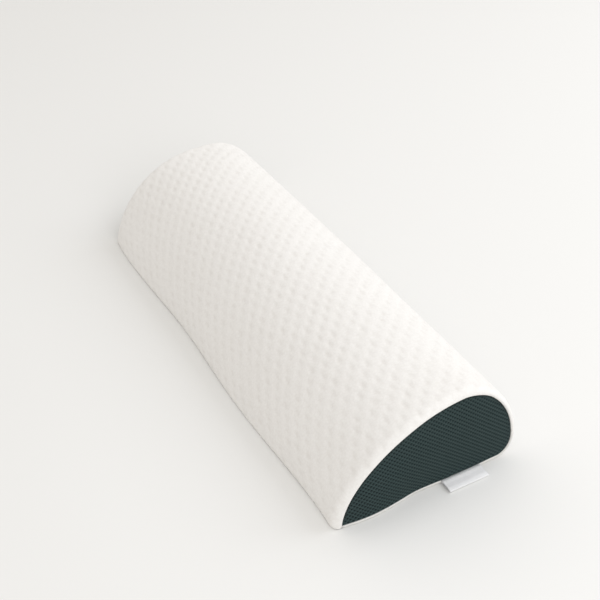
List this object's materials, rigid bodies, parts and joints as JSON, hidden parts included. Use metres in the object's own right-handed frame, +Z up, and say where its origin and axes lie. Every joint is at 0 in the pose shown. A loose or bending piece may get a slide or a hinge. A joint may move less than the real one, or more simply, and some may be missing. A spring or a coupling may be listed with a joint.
{
  "type": "lumbar support cushion",
  "caption": "Half-moon foam lumbar cushion with a zipped knit cover, dark mesh end panels and a flat base.",
  "frame": {"origin": "middle of the flat base, on the surface the cushion lies on", "axes": "+X along the cushion towards the labelled end; +Y across it, from the thin front edge to the blunt rear wall with the zip; +Z up"},
  "size_m": [0.5338, 0.2067, 0.107],
  "materials": {
    "white_jacquard": "matte",
    "base_knit": "matte",
    "spacer_mesh": "matte",
    "liner_knit": "matte",
    "foam": "matte",
    "thread": "matte",
    "label_satin": "satin",
    "zip_tape": "matte",
    "nylon": "satin",
    "zip_metal": "satin"
  },
  "bodies": {
    "root": {"cover_top_panel": "white_jacquard", "cover_base_panel": "base_knit", "end_panel_near": "spacer_mesh", "end_panel_far": "spacer_mesh", "foam_core": "foam", "liner_wrap": "liner_knit", "liner_end_near": "liner_knit", "liner_end_far": "liner_knit", "seam_thread_near": "thread", "seam_thread_far": "thread", "seam_thread_front": "thread", "seam_thread_rear_near": "thread", "seam_thread_rear_far": "thread", "brand_label": "label_satin", "care_label": "label_satin", "zip_tape_upper": "zip_tape", "zip_tape_lower": "zip_tape", "zip_coil_upper": "nylon", "zip_coil_lower": "nylon", "zip_top_stop_upper": "zip_metal", "zip_top_stop_lower": "zip_metal", "zip_bottom_stop": "zip_metal"},
    "slider": {"zip_slider": "zip_metal"},
    "pull": {"zip_pull": "zip_metal"}
  },
  "joints": [
    {"name": "slider_slide", "type": "slide", "parent": "root", "child": "slider", "axis": [-1, 0, 0], "range_m": [0, 0.389]},
    {"name": "pull_hinge", "type": "hinge", "parent": "slider", "child": "pull", "pos_m": [0.1945, 0.10312, 0.02718], "axis": [0, 0.0949, -0.9955], "range_deg": [0, 175]}
  ]
}
